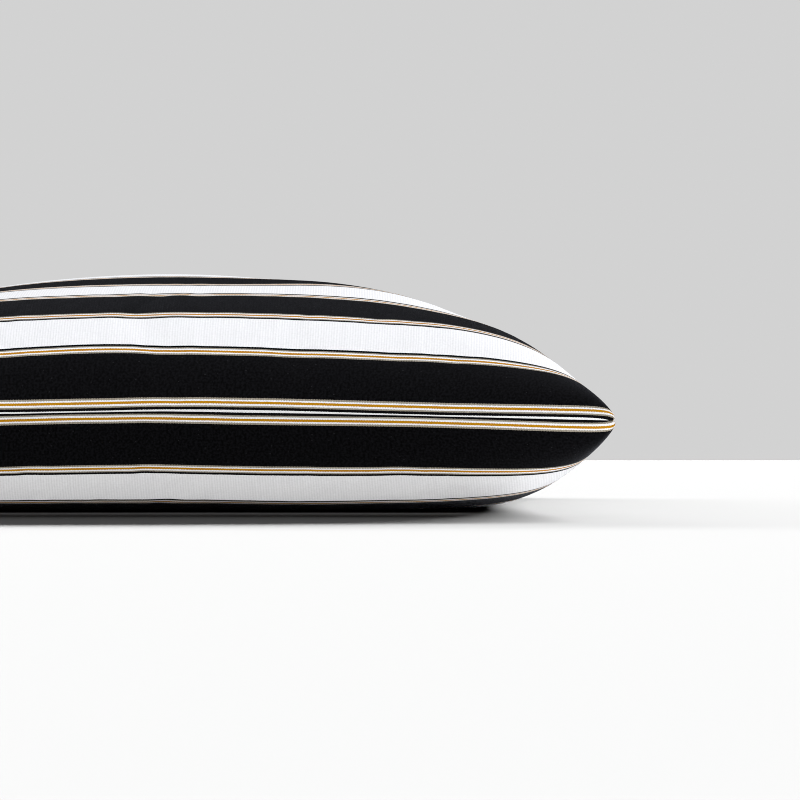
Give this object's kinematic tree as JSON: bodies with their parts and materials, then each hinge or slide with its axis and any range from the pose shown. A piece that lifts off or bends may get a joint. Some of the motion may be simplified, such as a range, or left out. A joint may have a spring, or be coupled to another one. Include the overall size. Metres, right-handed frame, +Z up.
{
  "type": "square throw pillow",
  "caption": "Square knife-edge throw pillow: a filled cover of striped rib-weave cloth with drawn-in sides, lying on its back.",
  "frame": {"origin": "on the surface the pillow rests on, under the centre of its bounding box", "axes": "+X along the stripes and the front seam, +Y from the front seam to the back seam, +Z up through the crown"},
  "size_m": [0.4938, 0.4938, 0.137],
  "materials": {
    "striped_cloth": "matt rib-weave cotton, black and white bands edged with fine ochre, taupe and white lines"
  },
  "bodies": {
    "root": {"cushion": "striped_cloth"}
  },
  "joints": []
}
